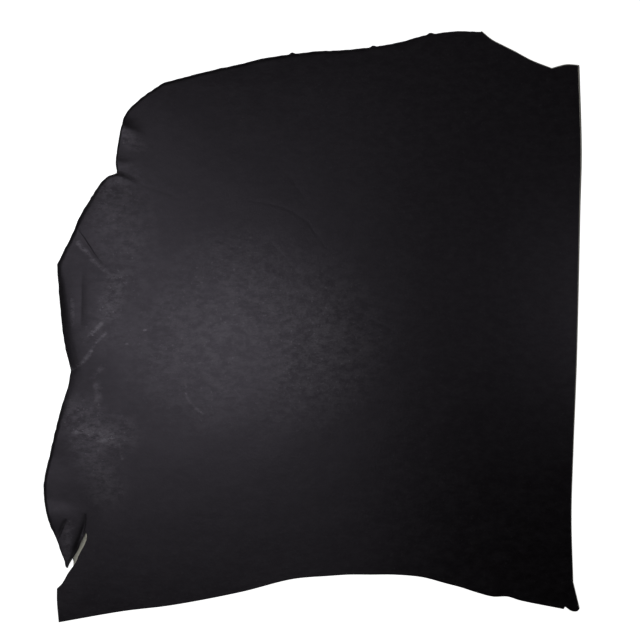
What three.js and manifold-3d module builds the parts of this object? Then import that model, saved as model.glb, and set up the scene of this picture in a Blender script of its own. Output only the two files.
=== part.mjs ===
// Leather shoulder: one flat hide cut, black on its grain side, lying grain side up.
// The sheet is a thin slab raised along its folds and then cut to its outline.
// Units are millimetres, +Z is up, and the flesh side rests on z = 0.

import * as THREE from "three";
import { mergeVertices } from "three/addons/utils/BufferGeometryUtils.js";
import Module from "manifold-3d";

// Driving dimensions.
const HIDE_WIDTH = 860;
const HIDE_LENGTH = 945;
const THICKNESS = 2.8;
const GRAIN_COLOUR = "#1d1c1f";
const GRAIN_ROUGHNESS = 0.5;

// How finely the outline and the sheet are divided.
const OUTLINE_STEP = 10;
const FINE_STEP = 9;
const COARSE_STEP = 120;
const OVERHANG = 12;
const CUTTER_DEPTH = 6;
const CUTTER_HEIGHT = 40;
const PAST_FACE = 0.2;

// The grain side's outline, clockwise as seen from above. Each stretch is one cut or one natural
// edge, a smooth curve through its knots [x, y], which are measured from the hide's left-most and
// lowest points. The stretches meet at corners. bevel says how far the flesh side stands out past
// the grain side where the knife was held at a slant, at the stretch's start and at its end. Where
// it is negative, the flesh side lies back under the grain side.
const OUTLINE = [
  {
    edge: "neck lobe",
    bevel: [0, 0],
    knots: [[117, 718], [115, 734], [121, 779], [131, 813], [145, 829], [163, 844], [192, 863]],
  },
  {
    edge: "torn top",
    bevel: [0, 0],
    knots: [
      [192, 863], [275, 884], [316, 893], [343, 900], [427, 912], [480, 915],
      [526, 920], [557, 925], [582, 931], [603, 937], [659, 945], [700, 944],
    ],
  },
  {
    edge: "slanting cut",
    bevel: [1.6, 1.6],
    knots: [[700, 944], [716, 931], [735, 921], [753, 912], [779, 898], [812, 885]],
  },
  { edge: "upper corner", bevel: [1.6, 1.6], knots: [[812, 885], [836, 891], [854, 890]] },
  {
    edge: "straight cut",
    bevel: [3, 1],
    knots: [[854, 890], [858, 752], [856, 660], [851, 419], [846, 280], [843, 168], [846, 64]],
  },
  { edge: "lower corner", bevel: [1, 1.2], knots: [[846, 64], [856, 22]] },
  { edge: "corner foot", bevel: [1.2, 0], knots: [[856, 22], [853, 18], [844, 18], [833, 25]] },
  { edge: "nick", bevel: [0, 0], knots: [[833, 25], [831, 21]] },
  {
    edge: "curved cut",
    bevel: [0, 0],
    knots: [
      [831, 21], [761, 35], [741, 41], [718, 41], [694, 47], [666, 56], [643, 62], [605, 72], [560, 76],
      [524, 76], [487, 76], [456, 74], [398, 69], [314, 48], [203, 27], [129, 18], [24, 0],
    ],
  },
  { edge: "lower end", bevel: [0, 0], knots: [[24, 0], [21, 35], [21, 54]] },
  { edge: "slit mouth", bevel: [0, 0], knots: [[21, 54], [29, 62], [39, 79], [47, 90]] },
  { edge: "slit lower side", bevel: [0, 9], knots: [[47, 90], [52, 98], [54.5, 104]] },
  {
    edge: "slit upper side",
    bevel: [9, 8.5],
    knots: [[54.5, 104], [59.5, 114], [65, 124], [69, 134]],
  },
  { edge: "slit head", bevel: [8.5, 5], knots: [[69, 134], [69, 140]] },
  { edge: "slit end", bevel: [5, 0], knots: [[69, 140], [67, 145]] },
  { edge: "tongue upper side", bevel: [0, -6], knots: [[67, 145], [65, 139], [59, 127]] },
  {
    edge: "tongue lower side",
    bevel: [-6, 0],
    knots: [[59, 127], [55, 116], [49, 106], [42, 94], [39, 87]],
  },
  {
    edge: "belly flap",
    bevel: [0, 0],
    knots: [
      [39, 87], [36, 89], [34, 99], [28, 113], [22, 131], [8, 164], [0, 210],
      [3, 240], [8, 262], [22, 322], [31, 354], [39, 379], [43, 403],
    ],
  },
  { edge: "middle lobe", bevel: [0, 0], knots: [[43, 403], [33, 446], [24, 528], [21, 572]] },
  {
    edge: "upper flank",
    bevel: [0, 0],
    knots: [[21, 572], [44, 618], [58, 650], [74, 676], [93, 705], [105, 714], [117, 718]],
  },
];

// The folds that lift the sheet off the surface. Each is a hump, highest at top and gone at end, that
// reaches left and right of the line between them, seen along it from above. The dent takes some of
// the belly's lift back.
const FOLDS = [
  { fold: "neck ridge", top: [116, 797], end: [168, 776], left: 24, right: 34, rise: 2.2, form: "sharp" },
  { fold: "neck wave", top: [116, 736], end: [146, 733], left: 10, right: 20, rise: 0.8, form: "sharp" },
  { fold: "notch ridge", top: [116, 716], end: [152, 700], left: 9, right: 22, rise: 1.1, form: "sharp" },
  { fold: "flank margin", top: [86, 663], end: [46, 598], left: 90, right: 25, rise: 1.4, form: "soft" },
  { fold: "flank swell", top: [82, 485], end: [82, 350], left: 80, right: 72, rise: 3, form: "soft" },
  { fold: "middle roll", top: [46, 512], end: [46, 462], left: 16, right: 30, rise: 0.6, form: "soft" },
  { fold: "belly lift", top: [0, 195], end: [120, 310], left: 120, right: 95, rise: 2.4, form: "soft" },
  { fold: "belly dent", top: [10, 264], end: [58, 266], left: 36, right: 44, rise: -1.3, form: "soft" },
  { fold: "tongue shoulder", top: [6, 174], end: [60, 172], left: 26, right: 34, rise: 1.5, form: "soft" },
  { fold: "tongue curl", top: [36, 89], end: [42, 200], left: 60, right: 28, rise: 4, form: "curled" },
];

// How a fold sinks from its top: along and aside are shares of its reach. A soft fold is round all
// over and a sharp one has a pinched crest. A curled one has a broad back with steep flanks, ends
// close behind its top and widens away from it.
const CURL_BACK = 16;
const CURL_TIP = 0.3;
const CURL_SPREAD = 0.95;
const FORMS = {
  soft: (along, aside) => Math.max(0, 1 - along ** 2 - aside ** 2) ** 2,
  sharp: (along, aside) => Math.max(0, 1 - along ** 2) ** 2 * Math.max(0, 1 - aside) ** 2,
  curled: (along, aside) => {
    const fade = along < 0 ? CURL_BACK * along : along;
    const spread = CURL_TIP + CURL_SPREAD * THREE.MathUtils.clamp(along, 0, 1);
    return Math.max(0, 1 - fade ** 2) ** 2 * Math.max(0, 1 - (aside / spread) ** 3);
  },
};

// The folds all lie within this distance of the hide's left side and in this range along it, so the
// sheet is divided finely there only.
const FOLDED_WIDTH = 184;
const FOLDED_ROWS = [[72, 836]];

// The height of one fold over a point.
function foldHeight({ top, end, left, right, rise, form }, x, y) {
  const runX = end[0] - top[0];
  const runY = end[1] - top[1];
  const reach = Math.hypot(runX, runY);
  const along = ((x - top[0]) * runX + (y - top[1]) * runY) / reach ** 2;
  const across = ((y - top[1]) * runX - (x - top[0]) * runY) / reach;
  const aside = Math.abs(across) / (across > 0 ? left : right);
  return rise * FORMS[form](along, aside);
}

function lift(x, y) {
  const height = FOLDS.reduce((sum, fold) => sum + foldHeight(fold, x, y), 0);
  return Math.max(0, height);
}

// The outline's points, each with the way out of the hide and the bevel there.
function outlinePoints() {
  const points = OUTLINE.flatMap(({ bevel, knots }) => {
    const curve = new THREE.CatmullRomCurve3(knots.map(([x, y]) => new THREE.Vector3(x, y, 0)));
    const count = Math.ceil(curve.getLength() / OUTLINE_STEP);
    return curve.getSpacedPoints(count).slice(0, -1).map((point, i) => ({
      at: new THREE.Vector2(point.x, point.y),
      bevel: THREE.MathUtils.lerp(bevel[0], bevel[1], i / count),
    }));
  });
  points.forEach((point, i) => {
    const before = points.at(i - 1).at;
    const after = points[(i + 1) % points.length].at;
    point.out = new THREE.Vector2(before.y - after.y, after.x - before.x).normalize();
  });
  return points;
}

// A tall solid with the outline's shape. Its wall slants from the flesh side's edge to the grain
// side's edge within the sheet's thickness, and follows the folds.
function outlineCutter() {
  const points = outlinePoints();
  const fleshEdge = points.map(({ at, out, bevel }) => at.clone().addScaledVector(out, bevel));
  const grainEdge = points.map(({ at }) => at);
  const rings = [
    fleshEdge.map(({ x, y }) => [x, y, -CUTTER_DEPTH]),
    fleshEdge.map(({ x, y }) => [x, y, lift(x, y) - PAST_FACE]),
    grainEdge.map(({ x, y }) => [x, y, lift(x, y) + THICKNESS + PAST_FACE]),
    grainEdge.map(({ x, y }) => [x, y, CUTTER_HEIGHT]),
  ];
  const count = points.length;
  const index = [];
  rings.slice(1).forEach((_, ring) => {
    points.forEach((__, i) => {
      const a = ring * count + i;
      const b = ring * count + ((i + 1) % count);
      index.push(a, a + count, b, b, a + count, b + count);
    });
  });
  const topStart = (rings.length - 1) * count;
  THREE.ShapeUtils.triangulateShape(fleshEdge, []).forEach(([a, b, c]) => index.push(a, c, b));
  THREE.ShapeUtils.triangulateShape(grainEdge, []).forEach(([a, b, c]) => {
    index.push(topStart + a, topStart + b, topStart + c);
  });
  const geometry = new THREE.BufferGeometry();
  geometry.setAttribute("position", new THREE.Float32BufferAttribute(rings.flat(2), 3));
  geometry.setIndex(index);
  return geometry;
}

// Division lines from start to end: close together inside the fine ranges, far apart elsewhere.
function divisions(start, end, fineRanges) {
  const lines = [start];
  while (lines.at(-1) < end) {
    const from = lines.at(-1);
    const fine = fineRanges.some(([low, high]) => from >= low && from < high);
    const nextFine = Math.min(...fineRanges.map(([low]) => low).filter((low) => low > from), end);
    lines.push(Math.min(from + (fine ? FINE_STEP : COARSE_STEP), fine ? end : nextFine));
  }
  return lines;
}

// A slab with these division lines, raised along the folds.
function raisedSlab(columns, rows) {
  const slab = new THREE.BoxGeometry(1, 1, THICKNESS, columns.length - 1, rows.length - 1, 1);
  const position = slab.getAttribute("position");
  for (let i = 0; i < position.count; i += 1) {
    const x = columns[Math.round((position.getX(i) + 0.5) * (columns.length - 1))];
    const y = rows[Math.round((position.getY(i) + 0.5) * (rows.length - 1))];
    position.setXYZ(i, x, y, position.getZ(i) + THICKNESS / 2 + lift(x, y));
  }
  slab.deleteAttribute("normal");
  slab.deleteAttribute("uv");
  return mergeVertices(slab);
}

const wasm = await Module();
wasm.setup();

function toSolid(geometry) {
  const vertProperties = new Float32Array(geometry.getAttribute("position").array);
  const triVerts = new Uint32Array(geometry.index.array);
  return new wasm.Manifold(new wasm.Mesh({ numProp: 3, vertProperties, triVerts }));
}

function toGeometry(solid) {
  const { vertProperties, triVerts } = solid.getMesh();
  const geometry = new THREE.BufferGeometry();
  geometry.setAttribute("position", new THREE.BufferAttribute(new Float32Array(vertProperties), 3));
  geometry.setIndex(new THREE.BufferAttribute(new Uint32Array(triVerts), 1));
  return geometry;
}

// The folded side and the flat rest of the sheet, joined and cut to the outline, with the middle of
// the outline's box over the origin.
function hideGeometry() {
  const rightSide = HIDE_WIDTH + OVERHANG;
  const topSide = HIDE_LENGTH + OVERHANG;
  const foldedColumns = divisions(-OVERHANG, FOLDED_WIDTH, [[-OVERHANG, FOLDED_WIDTH]]);
  const foldedSide = raisedSlab(foldedColumns, divisions(-OVERHANG, topSide, FOLDED_ROWS));
  const flatRest = raisedSlab(divisions(FOLDED_WIDTH, rightSide, []), divisions(-OVERHANG, topSide, []));
  const joined = toSolid(foldedSide).add(toSolid(flatRest));
  const sheet = toGeometry(joined.intersect(toSolid(outlineCutter())));
  sheet.computeBoundingBox();
  const { min, max } = sheet.boundingBox;
  sheet.translate(-(min.x + max.x) / 2, -(min.y + max.y) / 2, -min.z);
  sheet.computeVertexNormals();
  return sheet;
}

const material = new THREE.MeshStandardMaterial({
  color: GRAIN_COLOUR,
  roughness: GRAIN_ROUGHNESS,
  metalness: 0,
});
const hide = new THREE.Mesh(hideGeometry(), material);
hide.name = "leather_shoulder";

const group = new THREE.Group();
group.add(hide);

export default group;
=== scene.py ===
# %% [markdown]
# # A black leather shoulder, laid out flat
#
# A shoulder is the front end of a hide. This one was dyed black in a drum, left as the animal grew it
# along the neck and the belly, and trimmed with a knife on the other sides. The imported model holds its
# size and its broad folds as one plain solid. This script cuts the same outline again as a finely
# divided sheet, rounds its grain edge, creases it and gives it its finish.

import bmesh
import bpy
import numpy as np
from mathutils import Matrix, Vector, noise
from mathutils.kdtree import KDTree


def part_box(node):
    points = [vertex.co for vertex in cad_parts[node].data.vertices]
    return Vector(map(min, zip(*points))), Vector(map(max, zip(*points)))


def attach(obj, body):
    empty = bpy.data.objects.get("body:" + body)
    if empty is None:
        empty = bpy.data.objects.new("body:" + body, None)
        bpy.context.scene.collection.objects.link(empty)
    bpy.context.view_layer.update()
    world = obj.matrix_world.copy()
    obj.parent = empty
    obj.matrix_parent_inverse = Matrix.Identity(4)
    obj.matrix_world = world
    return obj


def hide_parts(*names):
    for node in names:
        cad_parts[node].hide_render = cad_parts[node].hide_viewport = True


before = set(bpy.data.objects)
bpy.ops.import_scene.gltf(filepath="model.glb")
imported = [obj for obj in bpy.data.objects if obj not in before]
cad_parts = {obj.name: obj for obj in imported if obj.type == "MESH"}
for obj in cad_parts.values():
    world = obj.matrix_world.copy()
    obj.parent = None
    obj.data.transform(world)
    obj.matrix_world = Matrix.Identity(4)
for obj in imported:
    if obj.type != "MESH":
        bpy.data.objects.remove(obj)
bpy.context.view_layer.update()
NODE = "leather_shoulder"
MM = 0.001
low_corner, high_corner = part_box(NODE)
print("the solid measures", [round(side / MM, 1) for side in high_corner - low_corner], "mm")

# %% [markdown]
# ## The outline
#
# Each row below is one stretch of the edge between two corners, and the stretches run clockwise as seen
# from above. Their knots are in millimetres from the hide's left-most and lowest points. A smooth curve
# runs through the knots of a stretch, so a few of them are enough. A stretch with a `bevel` was cut open
# by a knife after dyeing, which leaves it pale, and the slanting cut stands out that far at the flesh
# side, or lies back where the bevel is negative. A stretch with a `margin` is a natural edge, and the
# leather thins out over that width. Both are given at the stretch's two ends.

# %% The stretches of the edge
STRETCHES = [
    dict(name="neck lobe", margin=(3, 3),
         knots=[(117, 718), (115, 734), (121, 779), (131, 813), (145, 829), (163, 844), (192, 863)]),
    dict(name="torn top", margin=(3, 3),
         knots=[(192, 863), (275, 884), (316, 893), (343, 900), (427, 912), (480, 915), (526, 920),
                (557, 925), (582, 931), (603, 937), (659, 945), (700, 944)]),
    dict(name="slanting cut", bevel=(1.6, 1.6),
         knots=[(700, 944), (716, 931), (735, 921), (753, 912), (779, 898), (812, 885)]),
    dict(name="upper corner", bevel=(1.6, 1.6), knots=[(812, 885), (836, 891), (854, 890)]),
    dict(name="straight cut", bevel=(3, 1),
         knots=[(854, 890), (858, 752), (856, 660), (851, 419), (846, 280), (843, 168), (846, 64)]),
    dict(name="lower corner", bevel=(1, 1.2), knots=[(846, 64), (856, 22)]),
    dict(name="corner foot", bevel=(1.2, 0), knots=[(856, 22), (853, 18), (844, 18), (833, 25)]),
    dict(name="nick", bevel=(0, 0), knots=[(833, 25), (831, 21)]),
    dict(name="curved cut", bevel=(0, 0),
         knots=[(831, 21), (761, 35), (741, 41), (718, 41), (694, 47), (666, 56), (643, 62), (605, 72),
                (560, 76), (524, 76), (487, 76), (456, 74), (398, 69), (314, 48), (203, 27), (129, 18),
                (24, 0)]),
    dict(name="lower end", bevel=(0, 0), knots=[(24, 0), (21, 35), (21, 54)]),
    dict(name="slit mouth", bevel=(0, 0), knots=[(21, 54), (29, 62), (39, 79), (47, 90)]),
    dict(name="slit lower side", bevel=(0, 9), knots=[(47, 90), (52, 98), (54.5, 104)]),
    dict(name="slit upper side", bevel=(9, 8.5), knots=[(54.5, 104), (59.5, 114), (65, 124), (69, 134)]),
    dict(name="slit head", bevel=(8.5, 5), knots=[(69, 134), (69, 140)]),
    dict(name="slit end", bevel=(5, 0), knots=[(69, 140), (67, 145)]),
    dict(name="tongue upper side", bevel=(0, -6), knots=[(67, 145), (65, 139), (59, 127)]),
    dict(name="tongue lower side", bevel=(-6, 0),
         knots=[(59, 127), (55, 116), (49, 106), (42, 94), (39, 87)]),
    dict(name="belly flap", margin=(1, 8),
         knots=[(39, 87), (36, 89), (34, 99), (28, 113), (22, 131), (8, 164), (0, 210), (3, 240), (8, 262),
                (22, 322)]),
    dict(name="waist", margin=(8, 24), knots=[(22, 322), (31, 354), (39, 379), (43, 403)]),
    dict(name="middle lobe", margin=(24, 9), knots=[(43, 403), (33, 446), (24, 528), (21, 572)]),
    dict(name="upper flank", margin=(9, 3),
         knots=[(21, 572), (44, 618), (58, 650), (74, 676), (93, 705), (105, 714), (117, 718)]),
]
print("the edge has", len(STRETCHES), "stretches")

# %% [markdown]
# A curve object could draw this edge too, but each of its points also has to carry a bevel, a roll and a
# margin. So the line is worked out here, as a cubic piece between each two knots that is then walked in
# even steps. The same function draws the creases, the scuffs and the painted highlights later on.

# %% A smooth line through a few knots
STEPS_A_KNOT = 60


def smooth_line(knots, spacing):
    """Points about this far apart along a smooth curve through the knots, the last one included."""
    knots = np.array(knots, float)
    pace = np.sqrt(np.linalg.norm(np.diff(knots, axis=0), axis=1))
    times = np.concatenate([[0], np.cumsum(pace)])
    slopes = np.gradient(knots, times, axis=0)
    fine = np.linspace(0, times[-1], STEPS_A_KNOT * len(knots))
    start = np.clip(np.searchsorted(times, fine, side="right") - 1, 0, len(knots) - 2)
    span = (times[start + 1] - times[start])[:, None]
    share = (fine - times[start])[:, None] / span
    curve = (
        (1 + 2 * share) * (1 - share) ** 2 * knots[start]
        + share * (1 - share) ** 2 * span * slopes[start]
        + share**2 * (3 - 2 * share) * knots[start + 1]
        + share**2 * (share - 1) * span * slopes[start + 1]
    )
    walked = np.concatenate([[0], np.cumsum(np.linalg.norm(np.diff(curve, axis=0), axis=1))])
    stops = np.linspace(0, walked[-1], max(2, int(np.ceil(walked[-1] / spacing)) + 1))
    return np.column_stack([np.interp(stops, walked, curve[:, 0]), np.interp(stops, walked, curve[:, 1])])


# %% Walk round the edge
EDGE_SPACING = 2.6
# The grain rolls over widely at a natural edge, and less and less within this reach of a corner.
CUT_ROLL, NATURAL_ROLL, CORNER_REACH = 0.6, 1.4, 12.0
edge = {column: [] for column in ("place", "bevel", "raw", "roll", "margin")}
for stretch in STRETCHES:
    line = smooth_line(stretch["knots"], EDGE_SPACING)[:-1]
    steps = np.arange(len(line))
    from_corner = EDGE_SPACING * np.minimum(steps, len(line) - steps)
    raw = float("bevel" in stretch)
    widening = (1 - raw) * (NATURAL_ROLL - CUT_ROLL)
    edge["place"].extend(line)
    edge["bevel"].extend(np.linspace(*stretch.get("bevel", (0, 0)), len(line)))
    edge["raw"].extend(np.full(len(line), raw))
    edge["roll"].extend(CUT_ROLL + widening * np.clip(from_corner / CORNER_REACH, 0, 1))
    edge["margin"].extend(np.linspace(*stretch.get("margin", (0, 0)), len(line)))
edge = {column: np.array(values) for column, values in edge.items()}
ahead = np.roll(edge["place"], -1, axis=0) - np.roll(edge["place"], 1, axis=0)
outward = np.column_stack([-ahead[:, 1], ahead[:, 0]]) / np.linalg.norm(ahead, axis=1)[:, None]
print("the outline has", len(outward), "points")

# %% [markdown]
# ## Torn edges
#
# Along the neck and the belly the skin ends as it was torn or scraped, so that edge wavers and has a few
# small nibs. Smooth noise moves the natural edges in and out, and each row below pulls one nib out.

# %% Tear the natural edges
NIBS = [
    dict(at=(397, 908), height=3.0, width=5),
    dict(at=(527, 920), height=2.0, width=5),
    dict(at=(618, 940), height=3.0, width=7),
    dict(at=(76, 679), height=1.5, width=3),
]
TEAR_SIZE, TEAR_DEPTH, TORN_MARGIN = 9.0, 0.7, 3.0
torn = np.array([TEAR_DEPTH * noise.noise(Vector((*place, 0)) / TEAR_SIZE) for place in edge["place"]])
torn *= np.clip(edge["margin"] / TORN_MARGIN, 0, 1)
for nib in NIBS:
    gap = np.linalg.norm(edge["place"] - nib["at"], axis=1)
    torn += nib["height"] * np.clip(1 - gap / nib["width"], 0, 1)
edge["place"] += outward * torn[:, None]
grain_edge = edge["place"] - outward * edge["roll"][:, None]
print("the edge wavers by", round(torn.min(), 2), "to", round(torn.max(), 2), "mm")

# %% [markdown]
# ## Cutting the sheet
#
# A cutter lays the hide on the bench and follows the outline once. Here the outline becomes one face,
# and `bisect_plane` slices that face into a net of small squares, which keeps the edge exactly where it
# was drawn. The folds are all on the left, so the slices stand closer together there. A grid trimmed to
# the outline would also do, but its edge would be stepped.

# %% Cut the grain side
THICKNESS = 2.8
hide = bmesh.new()
edge_layers = {column: hide.verts.layers.float.new(column) for column in ("bevel", "raw", "roll")}
outline = []
for i, place in enumerate(grain_edge):
    corner = hide.verts.new((*place, THICKNESS))
    for column, layer in edge_layers.items():
        corner[layer] = edge[column][i]
    outline.append(corner)
grain_face = hide.faces.new(reversed(outline))
print("the grain side is one face with", len(outline), "corners")

# %% Slice it into a net
FOLDED_WIDTH = 230
FINE_SLICE, PLAIN_SLICE, ROW_SLICE = 2.4, 6.0, 3.5
SLIVER, ON_PLANE = 0.7, 1e-4


def slice_faces(bm, geometry, axis, places):
    """Cuts these faces along planes across one axis and returns all that they became."""
    across = Vector((axis == "x", axis == "y", 0))
    for place in places:
        cut = bmesh.ops.bisect_plane(
            bm, geom=geometry, dist=ON_PLANE, plane_co=across * place, plane_no=across,
        )
        geometry = cut["geom"]
    return geometry


width, length = edge["place"].max(axis=0)
columns = np.concatenate([
    np.arange(FINE_SLICE, FOLDED_WIDTH, FINE_SLICE),
    np.arange(FOLDED_WIDTH, width, PLAIN_SLICE),
])
geometry = [grain_face] + grain_face.edges[:] + grain_face.verts[:]
geometry = slice_faces(hide, geometry, "y", np.arange(ROW_SLICE, length, ROW_SLICE))
geometry = slice_faces(hide, geometry, "x", columns)
# Slivers close up onto the rim's own points, which carry the bevel and the roll.
bmesh.ops.remove_doubles(hide, verts=[corner for corner in hide.verts if corner.is_boundary], dist=SLIVER)
rim = [corner for corner in hide.verts if corner.is_boundary]
doubles = bmesh.ops.find_doubles(hide, verts=hide.verts[:], keep_verts=rim, dist=SLIVER)
bmesh.ops.weld_verts(hide, targetmap=doubles["targetmap"])
print("the grain side has", len(hide.faces), "faces")

# %% [markdown]
# ## Creases, wrinkles, scuffs and painted highlights
#
# Creases are kinks pressed into the grain while the hide was folded. Growth wrinkles are the animal's own
# neck lines, much shallower. Both are grooves along a bent path, and `left` and `right` are the widths of
# a groove's two walls, seen along its path. Scuffs are places where the wax finish has turned white or
# was rubbed off. A few rows of their table are painted highlights and painted sheen instead, pale marks
# laid where light falls on a fold, and these are named so. All follow paths too, so one table column
# serves all three.

# %% The creases and the growth wrinkles
CREASES = [
    dict(crease="flank", path=[(54, 630), (74, 600), (86, 582), (103, 568)], depth=0.5, left=2.5, right=8),
    dict(crease="flank valley", path=[(62, 568), (61, 520), (60, 468)], depth=0.55, left=18, right=30),
    dict(crease="waist", path=[(44, 404), (61, 414), (74, 427), (85, 443), (99, 461)], depth=0.2,
         left=3, right=3),
    dict(crease="dart", path=[(38, 166), (30, 150), (22, 132)], depth=0.9, left=3.5, right=7),
    dict(crease="slit", path=[(62, 138), (66, 155), (68, 174)], depth=0.7, left=10, right=2.5),
]
# A growth wrinkle is a low fold that leans over, so that one of its walls is steeper.
WRINKLE_WALLS = dict(left=9.0, right=4.0)
WRINKLES = [
    dict(path=[(133, 720), (154, 702), (170, 694), (198, 685), (221, 674)], depth=0.08),
    dict(path=[(323, 674), (352, 670), (380, 663), (402, 653), (420, 640), (434, 621), (452, 597)],
         depth=0.12),
    dict(path=[(366, 735), (388, 717), (406, 693), (428, 662)], depth=0.08),
    dict(path=[(358, 614), (374, 595), (394, 573), (406, 555)], depth=0.1),
    dict(path=[(272, 612), (294, 603), (314, 588)], depth=0.09),
    dict(path=[(258, 603), (274, 586), (285, 582)], depth=0.06),
    dict(path=[(301, 525), (322, 517), (342, 510), (362, 499)], depth=0.08),
    dict(path=[(349, 432), (386, 422), (397, 418)], depth=0.04),
    dict(path=[(490, 482), (509, 485), (530, 480), (550, 470), (566, 461)], depth=0.14),
    dict(path=[(558, 493), (586, 494), (621, 496)], depth=0.05),
    dict(path=[(730, 501), (754, 498), (786, 490)], depth=0.05),
    dict(path=[(394, 347), (458, 323)], depth=0.04),
    dict(path=[(438, 296), (470, 282)], depth=0.04),
    dict(path=[(458, 339), (493, 317)], depth=0.04),
]

# %% The scuffs and the painted highlights
SCUFFS_AND_PAINTED_SHEEN = [
    # Partly real bloom, partly painted sheen: a pale wash laid where the key lamp's reflection lies.
    dict(pale_mark="back bloom and painted sheen", path=[(270, 450), (310, 480), (400, 450)], width=210, strength=0.18),
    dict(pale_mark="neck haze", path=[(128, 776), (150, 762)], width=24, strength=0.12),
    dict(pale_mark="upper haze", path=[(110, 690), (130, 620), (130, 540)], width=90, strength=0.09),
    # Painted highlight: the lit wall of the flank crease, drawn as a pale line beside the groove.
    dict(pale_mark="painted flank highlight", path=[(56, 606), (70, 590), (82, 576), (98, 563), (124, 550)], width=7,
         strength=0.22),
    dict(pale_mark="flank patch", path=[(118, 545), (112, 520), (106, 497)], width=36, strength=0.22),
    dict(pale_mark="flank haze", path=[(92, 470), (150, 455), (230, 440)], width=70, strength=0.08),
    # Painted highlight along the crest of the middle roll fold.
    dict(pale_mark="middle roll", path=[(46, 515), (47, 496), (46, 477)], width=6, strength=0.14),
    dict(pale_mark="waist rub", path=[(74, 458), (93, 477)], width=7, strength=0.34),
    dict(pale_mark="waist edge", path=[(80, 443), (99, 462)], width=6, strength=0.34),
    dict(pale_mark="waist kink", path=[(67, 422), (77, 434)], width=5, strength=0.32),
    dict(pale_mark="waist line", path=[(45, 405), (61, 414), (74, 427)], width=5, strength=0.32),
    dict(pale_mark="under waist", path=[(77, 390), (96, 410)], width=7, strength=0.15),
    dict(pale_mark="belly streak", path=[(86, 379), (88, 323)], width=12, strength=0.16),
    dict(pale_mark="belly line", path=[(50, 306), (76, 300), (92, 290), (112, 296)], width=9, strength=0.32),
    dict(pale_mark="belly patch", path=[(70, 308), (108, 294)], width=34, strength=0.22),
    dict(pale_mark="belly haze", path=[(62, 328), (92, 298), (120, 300)], width=60, strength=0.13),
    # Painted sheen: a pale wash that brightens the belly below its bloom.
    dict(pale_mark="painted belly sheen", path=[(72, 290), (88, 250), (100, 215)], width=56, strength=0.12),
    dict(pale_mark="belly spot", path=[(104, 293), (110, 293)], width=5, strength=0.6),
    dict(pale_mark="belly tail", path=[(120, 291), (126, 262)], width=5, strength=0.22),
    # Painted sheen on the tongue's curl.
    dict(pale_mark="painted tongue sheen", path=[(42, 156), (36, 130), (39, 110)], width=17, strength=0.1),
    dict(pale_mark="pale arc", path=[(227, 382), (230, 358), (242, 344), (253, 333)], width=5, strength=0.28),
    dict(pale_mark="low patch", path=[(408, 403), (412, 403)], width=12, strength=0.16),
    dict(pale_mark="left dot", path=[(161, 467), (163, 467)], width=3.5, strength=0.6),
    dict(pale_mark="flank dot", path=[(132, 445), (134, 445)], width=3.5, strength=0.45),
]

# %% [markdown]
# A groove, a thin scuffed line or a thin painted highlight needs several small faces across it, smaller
# than the net's own. The sides of the faces near each such path are halved, and those nearest to it once
# more, and the rest of the net stays as light as it was. The broad scuffs and the painted sheen change
# too slowly to need it.

# %% Split the net along the paths
PATH_SPACING = 2.0
SPLIT_REACHES = [9.0, 6.0]
BROAD = 20.0
thin_scuffs_and_highlights = [row for row in SCUFFS_AND_PAINTED_SHEEN if row["width"] < BROAD]
marks = [row["path"] for row in CREASES + WRINKLES + thin_scuffs_and_highlights]
mark_points = np.concatenate([smooth_line(path, PATH_SPACING) for path in marks])
mark_tree = KDTree(len(mark_points))
for i, point in enumerate(mark_points):
    mark_tree.insert((*point, THICKNESS), i)
mark_tree.balance()
for reach in SPLIT_REACHES:
    middles = {side: (side.verts[0].co + side.verts[1].co) / 2 for side in hide.edges}
    near = [side for side, place in middles.items() if mark_tree.find(place)[2] < reach]
    bmesh.ops.subdivide_edges(hide, edges=near, cuts=1, use_grid_fill=True)
print("the split grain side has", len(hide.faces), "faces")

# %% [markdown]
# ## The thickness and the edge
#
# The leather is 2.8 mm thick. Its grain rolls over at the edge, widely where the edge is natural and
# hardly at all where a knife went through. Below that lies the fibre core, and the flesh side closes it
# underneath. A Solidify modifier would give a plain square edge, so the edge is drawn out in rings
# instead: each row of the table is one ring, with how deep it lies under the grain, how much of the roll
# and of the slanting cut it has taken, and the finish of the strip that leads to it.

# %% Draw the edge out in rings
GRAIN, CORE, FLESH = 0, 1, 2
RINGS = [
    dict(depth=0.14, roll=0.40, slant=0.0, finish=GRAIN),
    dict(depth=0.38, roll=0.72, slant=0.0, finish=GRAIN),
    dict(depth=0.80, roll=0.93, slant=0.0, finish=GRAIN),
    dict(depth=2.45, roll=1.00, slant=0.9, finish=CORE),
    dict(depth=2.80, roll=0.88, slant=1.0, finish=FLESH),
]
# Slicing blends the edge's values where two stretches meet, so a side counts as raw from a half up.
RAW_FROM = 0.5
start_at = hide.verts.layers.float_vector.new("start")
out_at = hide.verts.layers.float_vector.new("out")
ring = [side for side in hide.edges if side.is_boundary]
for side in ring:
    side.smooth = side.verts[0][edge_layers["raw"]] < RAW_FROM
    loop = side.link_loops[0]
    along = loop.link_loop_next.vert.co - loop.vert.co
    for corner in side.verts:
        corner[start_at] = corner.co
        corner[out_at] = corner[out_at] + Vector((along.y, -along.x, 0)).normalized()

for row in RINGS:
    grown = bmesh.ops.extrude_edge_only(hide, edges=ring)["geom"]
    corners = {item for item in grown if isinstance(item, bmesh.types.BMVert)}
    ring = [item for item in grown if isinstance(item, bmesh.types.BMEdge) and set(item.verts) <= corners]
    for corner in corners:
        reach = row["roll"] * corner[edge_layers["roll"]] + row["slant"] * corner[edge_layers["bevel"]]
        corner.co = corner[start_at] + corner[out_at].normalized() * reach
        corner.co.z = THICKNESS - row["depth"]
    for side in ring:
        rawness = (side.verts[0][edge_layers["raw"]] + side.verts[1][edge_layers["raw"]]) / 2
        dyed_core = row["finish"] == CORE and rawness < RAW_FROM
        side.link_faces[0].material_index = FLESH if dyed_core else row["finish"]
print("the edge is drawn out in", len(RINGS), "rings of", len(ring), "sides")

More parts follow.
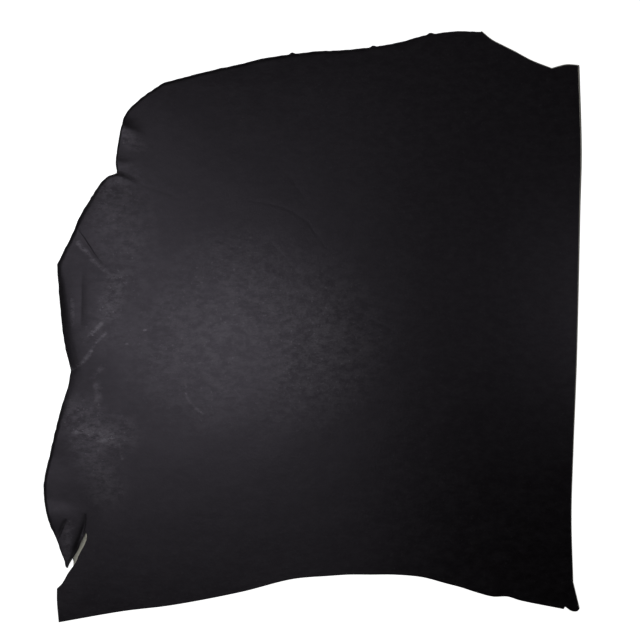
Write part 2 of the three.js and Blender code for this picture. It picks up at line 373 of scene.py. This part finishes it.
# %% Close the flesh side
FLESH_SLICE = 12.0
flesh_face = bmesh.ops.edgeloop_fill(hide, edges=ring, mat_nr=FLESH)["faces"][0]
geometry = [flesh_face] + flesh_face.edges[:] + flesh_face.verts[:]
geometry = slice_faces(hide, geometry, "y", np.arange(FLESH_SLICE, length, FLESH_SLICE))
geometry = slice_faces(hide, geometry, "x", np.arange(FLESH_SLICE, width, FLESH_SLICE))
bmesh.ops.recalc_face_normals(hide, faces=hide.faces[:])
open_edges = sum(not side.is_manifold for side in hide.edges)
print("the closed sheet has", len(hide.faces), "faces and", open_edges, "open edges")

# %% [markdown]
# ## Folds
#
# The hide dried without being nailed flat, so its free left side has folds that lift off the bench.
# Each row is one hump of the sheet, highest at `top` and gone at `end`, which reaches `left` and `right`
# of the line between them. A soft fold is round, a sharp one has a crest like a pinched sheet, and a
# curled one has a broad back with steep sides, widens from its top and ends close behind it. Moving the
# points by a table keeps every fold where it lies on the real piece, which a cloth simulation would not.

# %% Work out the folds
FOLDS = [
    dict(fold="neck ridge", top=(116, 797), end=(168, 776), left=24, right=34, rise=2.2, form="sharp"),
    dict(fold="neck wave", top=(116, 736), end=(146, 733), left=10, right=20, rise=0.8, form="sharp"),
    dict(fold="notch ridge", top=(116, 716), end=(152, 700), left=9, right=22, rise=1.1, form="sharp"),
    dict(fold="flank margin", top=(86, 663), end=(46, 598), left=90, right=25, rise=1.4, form="soft"),
    dict(fold="flank swell", top=(82, 485), end=(82, 350), left=80, right=72, rise=3.0, form="soft"),
    dict(fold="middle roll", top=(46, 512), end=(46, 462), left=16, right=30, rise=0.6, form="soft"),
    dict(fold="belly lift", top=(0, 195), end=(120, 310), left=120, right=95, rise=2.4, form="soft"),
    dict(fold="belly dent", top=(10, 264), end=(58, 266), left=36, right=44, rise=-1.3, form="soft"),
    dict(fold="tongue shoulder", top=(6, 174), end=(60, 172), left=26, right=34, rise=1.5, form="soft"),
    dict(fold="tongue curl", top=(36, 89), end=(42, 200), left=60, right=28, rise=4.0, form="curled"),
]
CURL_BACK, CURL_TIP, CURL_SPREAD = 16, 0.3, 0.95
FORMS = {
    "soft": lambda along, aside: np.clip(1 - along**2 - aside**2, 0, 1) ** 2,
    "sharp": lambda along, aside: np.clip(1 - along**2, 0, 1) ** 2 * np.clip(1 - aside, 0, 1) ** 2,
    "curled": lambda along, aside: (
        np.clip(1 - np.where(along < 0, CURL_BACK * along, along) ** 2, 0, 1) ** 2
        * np.clip(1 - (aside / (CURL_TIP + CURL_SPREAD * along.clip(0, 1))) ** 3, 0, 1)
    ),
}


def fold_height(x, y, top, end, left, right, rise, form, **_):
    """How far one fold lifts the sheet at these places."""
    run = np.subtract(end, top)
    reach = np.hypot(*run)
    along = ((x - top[0]) * run[0] + (y - top[1]) * run[1]) / reach**2
    across = ((y - top[1]) * run[0] - (x - top[0]) * run[1]) / reach
    aside = np.abs(across) / np.where(across > 0, left, right)
    return rise * FORMS[form](along, aside)


places = np.array([corner.co for corner in hide.verts])
lift = sum(fold_height(places[:, 0], places[:, 1], **fold) for fold in FOLDS).clip(0)
print("the folds lift the sheet by up to", round(lift.max(), 1), "mm")

# %% [markdown]
# ## Pressing in the marks
#
# One function finds how near each point lies to a path, as a share of the width on that side. Squaring
# the share gives a groove soft shoulders and a sharp floor, and scuffs and painted highlights fade
# smoothly on both counts.

# %% Measure the marks
def path_share(path, left, right):
    """How near each point lies to a path, from 0 to 1, and how far along the path that is."""
    line = smooth_line(path, PATH_SPACING)
    heading = np.gradient(line, axis=0)
    low, high = line.min(axis=0) - max(left, right), line.max(axis=0) + max(left, right)
    close = np.flatnonzero(np.all((places[:, :2] > low) & (places[:, :2] < high), axis=1))
    gaps = places[close, None, :2] - line
    distances = np.linalg.norm(gaps, axis=2)
    nearest = distances.argmin(axis=1)
    gap = gaps[np.arange(len(close)), nearest]
    on_left = heading[nearest, 0] * gap[:, 1] > heading[nearest, 1] * gap[:, 0]
    share, along = np.zeros(len(places)), np.zeros(len(places))
    share[close] = np.clip(1 - distances.min(axis=1) / np.where(on_left, left, right), 0, 1)
    along[close] = nearest / (len(line) - 1)
    return share, along


groove = np.zeros(len(places))
for row in CREASES + [dict(wrinkle, **WRINKLE_WALLS) for wrinkle in WRINKLES]:
    share, along = path_share(row["path"], row["left"], row["right"])
    groove += row["depth"] * share**2 * np.sqrt(np.sin(np.pi * along))

# A thin haze lies all over, and each row of scuffs and painted sheen is laid on it where it is the
# stronger of the two.
THIN_HAZE = 0.02
bloom_and_painted_sheen = np.full(len(places), THIN_HAZE)
for row in SCUFFS_AND_PAINTED_SHEEN:
    share, _ = path_share(row["path"], row["width"], row["width"])
    bloom_and_painted_sheen = np.maximum(bloom_and_painted_sheen, row["strength"] * share**2 * (3 - 2 * share))
print(len(CREASES), "creases,", len(WRINKLES), "wrinkles and", len(SCUFFS_AND_PAINTED_SHEEN), "scuffs, up to",
      round(groove.max(), 2), "mm deep")

# %% [markdown]
# ## The uneven lie of the hide
#
# Leather never lies like glass: its thickness changes from back to belly, it has low waves a hand wide, and
# it thins out along its natural edges. The rows below thicken it along broad lines, a layer of smooth noise
# gives the waves, and the nearest outline point says how wide the thin margin is. All three only stir the
# grain side, so that the flesh side still rests flat.

# %% Work out the uneven lie
SWELLS = [
    dict(swell="inner swell", top=(173, 363), end=(173, 290), left=45, right=45, rise=0.5, form="soft"),
    dict(swell="lower corner", top=(22, 0), end=(60, 80), left=40, right=50, rise=0.8, form="soft"),
    dict(swell="back line", top=(735, 531), end=(735, 300), left=60, right=90, rise=0.3, form="soft"),
]
WAVE_SIZE, WAVE_HEIGHT = 70, 0.2
THINNED = 1.3
swell = sum(fold_height(places[:, 0], places[:, 1], **row) for row in SWELLS)
wave = np.array([WAVE_HEIGHT * noise.noise(Vector((x, y, 0)) / WAVE_SIZE) for x, y, _ in places])
edge_tree = KDTree(len(edge["place"]))
for i, place in enumerate(edge["place"]):
    edge_tree.insert((*place, 0), i)
edge_tree.balance()
thinning = np.zeros(len(places))
for i, (x, y, _) in enumerate(places):
    _, nearest, gap = edge_tree.find((x, y, 0))
    if gap < edge["margin"][nearest]:
        thinning[i] = THINNED * (1 - gap / edge["margin"][nearest]) ** 2
print("the edges thin out by up to", round(thinning.max(), 2), "mm")

# %% Raise the sheet
grain_share = places[:, 2] / THICKNESS
raised = places[:, 2] + lift + grain_share**2 * (swell + wave - groove - thinning)
for corner, height in zip(hide.verts, raised):
    corner.co.z = height
to_frame = Matrix.Translation(low_corner) @ Matrix.Scale(MM, 4)
bmesh.ops.transform(hide, matrix=to_frame, verts=hide.verts[:])

mesh = bpy.data.meshes.new("black_hide")
hide.to_mesh(mesh)
# The bloom attribute carries the white bloom and also the painted sheen and painted highlights.
mesh.attributes.new("bloom_and_painted_sheen", "FLOAT", "POINT").data.foreach_set("value", bloom_and_painted_sheen)
mesh.attributes.new("below_grain", "FLOAT", "POINT").data.foreach_set("value", 1 - grain_share)
leather = bpy.data.objects.new("black_hide", mesh)
bpy.context.scene.collection.objects.link(leather)
triangles = sum(len(face.verts) - 2 for face in hide.faces)
grain_area = sum(face.calc_area() for face in hide.faces if face.material_index == GRAIN)
hide.free()
print("the sheet has", triangles, "triangles and", round(grain_area, 3), "square metres of grain")

# %% [markdown]
# ## The finishes
#
# Colours are given as sRGB hex values and turned into the linear values that the shaders work with. One
# small function adds a node with its settings and its links.

# %% Colours and nodes
def linear(hex_colour):
    """Turns an sRGB hex value such as #A9A698 into linear red, green, blue and alpha."""
    shares = [int(hex_colour[i:i + 2], 16) / 255 for i in (1, 3, 5)]
    return [s / 12.92 if s <= 0.04045 else ((s + 0.055) / 1.055) ** 2.4 for s in shares] + [1.0]


def add_node(tree, kind, inputs=(), **settings):
    """Adds a node with its settings, and fills its inputs with values or with other nodes' outputs."""
    node = tree.nodes.new(kind)
    for name, value in settings.items():
        setattr(node, name, value)
    for name, value in dict(inputs).items():
        if isinstance(value, bpy.types.NodeSocket):
            tree.links.new(value, node.inputs[name])
        else:
            node.inputs[name].default_value = value
    return node


def new_material(name):
    """An empty node material and its tree."""
    material = bpy.data.materials.new(name)
    material.use_nodes = True
    material.node_tree.nodes.clear()
    return material, material.node_tree


# %% [markdown]
# ### Drum-dyed black grain
#
# The grain side is smooth full-grain leather, dyed black and only lightly waxed. It gives the eye a broad,
# soft sheen rather than a mirror, broken up by low unevenness of every size and by a dusty bloom where the
# wax has turned white. The same pale mix also carries the painted sheen and painted highlights, which
# lighten the colour where the lamps' reflection and the folds' lit sides lie. The real grain is about 1 mm
# across, too fine to show at this size, so it is drawn at 3 mm.

# %% The grain's relief
GRAIN_CELL, GRAIN_DEPTH = 3.0, 0.06
LUMP_SIZE, LUMP_DEPTH, LUMP_STRETCH = 40.0, 0.3, 1.7
grain, tree = new_material("drum_dyed_black_grain_leather")
spot = add_node(tree, "ShaderNodeTexCoord").outputs["Object"]
cells = add_node(tree, "ShaderNodeTexVoronoi", {"Vector": spot, "Scale": 1 / (GRAIN_CELL * MM)},
                 feature="SMOOTH_F1")
drawn = add_node(tree, "ShaderNodeMapping", {"Vector": spot, "Scale": (LUMP_STRETCH, 1, 1)},
                 vector_type="TEXTURE")
lumps = add_node(tree, "ShaderNodeTexNoise", {
    "Vector": drawn.outputs["Vector"], "Scale": 1 / (LUMP_SIZE * MM), "Detail": 7.0, "Roughness": 0.58,
})
lumpy = add_node(tree, "ShaderNodeBump", {"Height": lumps.outputs["Fac"], "Distance": LUMP_DEPTH * MM})
pebbled = add_node(tree, "ShaderNodeBump", {
    "Height": cells.outputs["Distance"], "Distance": GRAIN_DEPTH * MM, "Normal": lumpy.outputs["Normal"],
})
print("the grain is drawn", GRAIN_CELL, "mm wide, on lumps of", LUMP_SIZE, "mm")

# %% The wax, its bloom and the painted sheen
STREAK_SIZE, STREAK_STRETCH, STREAK_TURN = 24.0, 1.8, np.radians(-18)
STREAKS_FROM, STREAKS_TO = 0.3, 0.7
WAXED, WORN = 0.283, 0.315
FLECK_SIZE, FLECKS_FROM, FLECKS_TO = 9.0, 0.41, 0.61
SPECK_SIZE, SPECKS_FROM, SPECKS_TO, SPECK_COVER = 4.0, 0.64, 0.74, 1.2
lay = add_node(tree, "ShaderNodeMapping", {
    "Vector": spot, "Rotation": (0, 0, STREAK_TURN), "Scale": (STREAK_STRETCH, 1, 1),
}, vector_type="TEXTURE")
streaks = add_node(tree, "ShaderNodeTexNoise", {
    "Vector": lay.outputs["Vector"], "Scale": 1 / (STREAK_SIZE * MM), "Detail": 8.0, "Roughness": 0.75,
})
waxing = add_node(tree, "ShaderNodeMapRange", {
    "Value": streaks.outputs["Fac"], "From Min": STREAKS_FROM, "From Max": STREAKS_TO,
    "To Min": WAXED, "To Max": WORN,
})
flecks = add_node(tree, "ShaderNodeTexNoise", {
    "Vector": drawn.outputs["Vector"], "Scale": 1 / (FLECK_SIZE * MM), "Detail": 7.0, "Roughness": 0.8,
})
# Reads the bloom and the painted sheen and highlights that were laid on the sheet.
haze = add_node(tree, "ShaderNodeAttribute", attribute_name="bloom_and_painted_sheen")
dust = add_node(tree, "ShaderNodeMapRange", {
    "Value": flecks.outputs["Fac"], "From Min": FLECKS_FROM, "From Max": FLECKS_TO,
})
specks = add_node(tree, "ShaderNodeTexNoise", {
    "Vector": spot, "Scale": 1 / (SPECK_SIZE * MM), "Detail": 2.0,
})
salt = add_node(tree, "ShaderNodeMapRange", {
    "Value": specks.outputs["Fac"], "From Min": SPECKS_FROM, "From Max": SPECKS_TO, "To Max": SPECK_COVER,
})
dusted = add_node(tree, "ShaderNodeMath", {
    0: dust.outputs["Result"], 1: salt.outputs["Result"],
}, operation="ADD")
bloom_and_sheen_cover = add_node(tree, "ShaderNodeMath", {
    0: haze.outputs["Fac"], 1: dusted.outputs["Value"],
}, operation="MULTIPLY")
print("the bloom has flecks of", FLECK_SIZE, "mm and specks of", SPECK_SIZE, "mm")

# %% The grain finish
BLACK_DYE, BLOOM_AND_PAINTED_SHEEN_WHITE, WAX_TINT = "#020101", "#88858a", "#f4ebff"
WAX_LEVEL, BLOOM_DULLS = 0.21, 0.03
# A Mix node has sockets of one name for each kind of data. These are the places of its colour sockets.
RGB_A, RGB_B, RGB_RESULT = 6, 7, 2
# The pale mix paints the white bloom and, with it, the painted sheen and painted highlights.
tone = add_node(tree, "ShaderNodeMix", {
    "Factor": bloom_and_sheen_cover.outputs["Value"], RGB_A: linear(BLACK_DYE), RGB_B: linear(BLOOM_AND_PAINTED_SHEEN_WHITE),
}, data_type="RGBA")
gloss = add_node(tree, "ShaderNodeMath", {
    0: bloom_and_sheen_cover.outputs["Value"], 1: BLOOM_DULLS, 2: waxing.outputs["Result"],
}, operation="MULTIPLY_ADD")
shader = add_node(tree, "ShaderNodeBsdfPrincipled", {
    "Base Color": tone.outputs[RGB_RESULT], "Roughness": gloss.outputs["Value"], "IOR": 1.5,
    "Normal": pebbled.outputs["Normal"], "Specular IOR Level": WAX_LEVEL, "Specular Tint": linear(WAX_TINT),
})
add_node(tree, "ShaderNodeOutputMaterial", {"Surface": shader.outputs["BSDF"]})
print(grain.name, "has", len(tree.nodes), "nodes")

# %% [markdown]
# ### Raw core and flesh side
#
# A knife cut opens the fibre core, a pale, dull grey with a short nap. Towards the flesh side the core is
# painted darker, a painted shade like the shade that falls into a narrow cut such as the slit under the
# tongue. The flesh side took the dye freely and was shaved to suede. Both are matt, so they differ from the
# grain in the way they take the light as much as in colour. Their fibres are far finer than this and are
# drawn 2 and 3 mm wide, so that they show.

# %% The core and the flesh finishes
NAPS = [
    dict(name="knife_cut_raw_leather_core", fibre=2.0, depth=0.3, dark="#98968a", pale="#cfcdc0",
         painted_shade=0.85),
    dict(name="dyed_suede_flesh_side", fibre=3.0, depth=0.4, dark="#1c1b1d", pale="#343235",
         painted_shade=0.0),
]
SHADED_FIBRE, NAP_ROUGHNESS = "#2a292a", 0.92
# The painted shade starts at the first share of the thickness below the grain and is full at the second.
SHADE_FROM, SHADE_TO = 0.3, 0.85
mesh.materials.append(grain)
for row in NAPS:
    nap, tree = new_material(row["name"])
    spot = add_node(tree, "ShaderNodeTexCoord").outputs["Object"]
    fibres = add_node(tree, "ShaderNodeTexNoise", {
        "Vector": spot, "Scale": 1 / (row["fibre"] * MM), "Detail": 5.0,
    })
    raw_tone = add_node(tree, "ShaderNodeMix", {
        "Factor": fibres.outputs["Fac"], RGB_A: linear(row["dark"]), RGB_B: linear(row["pale"]),
    }, data_type="RGBA")
    below = add_node(tree, "ShaderNodeAttribute", attribute_name="below_grain")
    # Painted shade: the raw core darkens towards the flesh side.
    painted_core_shade = add_node(tree, "ShaderNodeMapRange", {
        "Value": below.outputs["Fac"], "From Min": SHADE_FROM, "From Max": SHADE_TO, "To Max": row["painted_shade"],
    })
    tone = add_node(tree, "ShaderNodeMix", {
        "Factor": painted_core_shade.outputs["Result"], RGB_A: raw_tone.outputs[RGB_RESULT], RGB_B: linear(SHADED_FIBRE),
    }, data_type="RGBA")
    relief = add_node(tree, "ShaderNodeBump", {
        "Height": fibres.outputs["Fac"], "Distance": row["depth"] * MM,
    })
    shader = add_node(tree, "ShaderNodeBsdfPrincipled", {
        "Base Color": tone.outputs[RGB_RESULT], "Roughness": NAP_ROUGHNESS,
        "Normal": relief.outputs["Normal"],
    })
    add_node(tree, "ShaderNodeOutputMaterial", {"Surface": shader.outputs["BSDF"]})
    mesh.materials.append(nap)
mesh.shade_smooth()
print("finishes:", ", ".join(material.name for material in mesh.materials))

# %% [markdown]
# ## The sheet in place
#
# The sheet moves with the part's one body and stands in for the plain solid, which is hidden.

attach(leather, "root")
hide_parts(NODE)

# %% [markdown]
# ## The floor
#
# The hide lies on a white sheet of paper that glows a little, as on a light table, so that it stays white
# under weak lamps. It lies a hair below the hide, because two faces in one place would flicker.

# %% Lay the floor
FLOOR_SIDE, FLOOR_GAP = 8.0, 0.3
PAPER_GLOW, PAPER_ROUGHNESS = 0.8, 0.9
paper, tree = new_material("white_backdrop_paper")
shader = add_node(tree, "ShaderNodeBsdfPrincipled", {
    "Base Color": linear("#f0f0f0"), "Roughness": PAPER_ROUGHNESS,
    "Emission Color": linear("#ffffff"), "Emission Strength": PAPER_GLOW,
})
add_node(tree, "ShaderNodeOutputMaterial", {"Surface": shader.outputs["BSDF"]})
slab = bmesh.new()
under = Matrix.Translation((0, 0, -FLOOR_GAP * MM))
bmesh.ops.create_grid(slab, x_segments=1, y_segments=1, size=FLOOR_SIDE / 2, matrix=under)
floor_mesh = bpy.data.meshes.new("paper_floor")
slab.to_mesh(floor_mesh)
slab.free()
floor_mesh.materials.append(paper)
floor = bpy.data.objects.new("paper_floor", floor_mesh)
bpy.context.scene.collection.objects.link(floor)
print("the floor is", FLOOR_SIDE, "m wide")

# %% [markdown]
# ## Camera and lamps
#
# The camera looks straight down. The lamps all hang level with it, so that each one's reflection lies
# halfway between the two, and `sheen` is how far that is from the middle of the picture, in metres. The
# key makes the bright patch, the broad lamp the glow around it, and the strips catch the two sides. Lamp
# sizes are in metres and powers in watts.

# %% Hang the camera
PICTURE_SIDE, CAMERA_HEIGHT = 1.024, 1.7
# The middle is in millimetres on the hide, as the knots are.
PICTURE_MIDDLE = (441.6, 483.2)
SENSOR = 36.0
middle = low_corner + Vector((*PICTURE_MIDDLE, 0)) * MM
eye = bpy.data.cameras.new("camera")
eye.sensor_width = SENSOR
eye.lens = SENSOR * CAMERA_HEIGHT / PICTURE_SIDE
camera = bpy.data.objects.new("camera", eye)
camera.location = middle + Vector((0, 0, CAMERA_HEIGHT))
bpy.context.scene.collection.objects.link(camera)
bpy.context.scene.camera = camera
print("the camera has a", round(eye.lens, 1), "mm lens")

# %% Hang the lamps
LIGHTS = [
    dict(name="key", sheen=(-0.14, -0.04), size=(0.28, 0.43), power=2.8),
    dict(name="broad", sheen=(-0.24, -0.02), size=(1.4, 1.75), power=6.4),
    dict(name="top right", sheen=(0.25, 0.34), size=(0.77, 1.9), power=1.25),
    dict(name="right strip", sheen=(0.45, 0.02), size=(0.1, 0.5), power=1.15),
    dict(name="left strip", sheen=(-0.38, 0.03), size=(0.1, 1.0), power=5.9),
]
for row in LIGHTS:
    lamp = bpy.data.lights.new(row["name"], "AREA")
    lamp.shape = "RECTANGLE"
    lamp.size, lamp.size_y = row["size"]
    lamp.energy = row["power"]
    light = bpy.data.objects.new(row["name"], lamp)
    light.location = camera.location + 2 * Vector((*row["sheen"], 0))
    light.visible_camera = False
    bpy.context.scene.collection.objects.link(light)
print("lamps:", ", ".join(row["name"] for row in LIGHTS))

# %% [markdown]
# ## The room
#
# The room is dark overhead, so that the hide stays black between the lamps, and faintly pale lower down.
# Low views would then show hardly any gloss, so gloss alone sees a brighter wall there, which sheds no
# light on the hide. `WALL` gives its brightness by height, where 0 is level and 1 is straight up. The
# camera itself sees plain white.

# %% Paint the room
ZENITH, HORIZON, HIGH = 0.0, 0.12, 0.6
WALL = [(0.0, 0.12), (0.3, 0.25), (0.55, 0.6), (0.85, 0.0)]
world = bpy.data.worlds.new("studio")
world.use_nodes = True
tree = world.node_tree
tree.nodes.clear()
direction = add_node(tree, "ShaderNodeTexCoord").outputs["Generated"]
height = add_node(tree, "ShaderNodeSeparateXYZ", {"Vector": direction}).outputs["Z"]
glow = add_node(tree, "ShaderNodeMapRange", {
    "Value": height, "From Min": 0.0, "From Max": HIGH, "To Min": HORIZON, "To Max": ZENITH,
})
ray = add_node(tree, "ShaderNodeLightPath").outputs
wall = add_node(tree, "ShaderNodeValToRGB", {"Fac": height})
for place, _ in WALL[1:-1]:
    wall.color_ramp.elements.new(place)
for stop, (place, grey) in zip(wall.color_ramp.elements, WALL):
    stop.position = place
    stop.color = (grey, grey, grey, 1)
mirrored = add_node(tree, "ShaderNodeMath", {
    0: wall.outputs["Color"], 1: ray["Is Glossy Ray"],
}, operation="MULTIPLY")
lit = add_node(tree, "ShaderNodeMath", {
    0: glow.outputs["Result"], 1: mirrored.outputs["Value"],
}, operation="MAXIMUM")
strength = add_node(tree, "ShaderNodeMath", {
    0: lit.outputs["Value"], 1: ray["Is Camera Ray"],
}, operation="MAXIMUM")
back = add_node(tree, "ShaderNodeBackground", {
    "Color": linear("#ffffff"), "Strength": strength.outputs["Value"],
})
add_node(tree, "ShaderNodeOutputWorld", {"Surface": back.outputs["Background"]})
bpy.context.scene.world = world
bpy.context.scene.view_settings.view_transform = "Standard"
print("the room has", len(tree.nodes), "nodes")
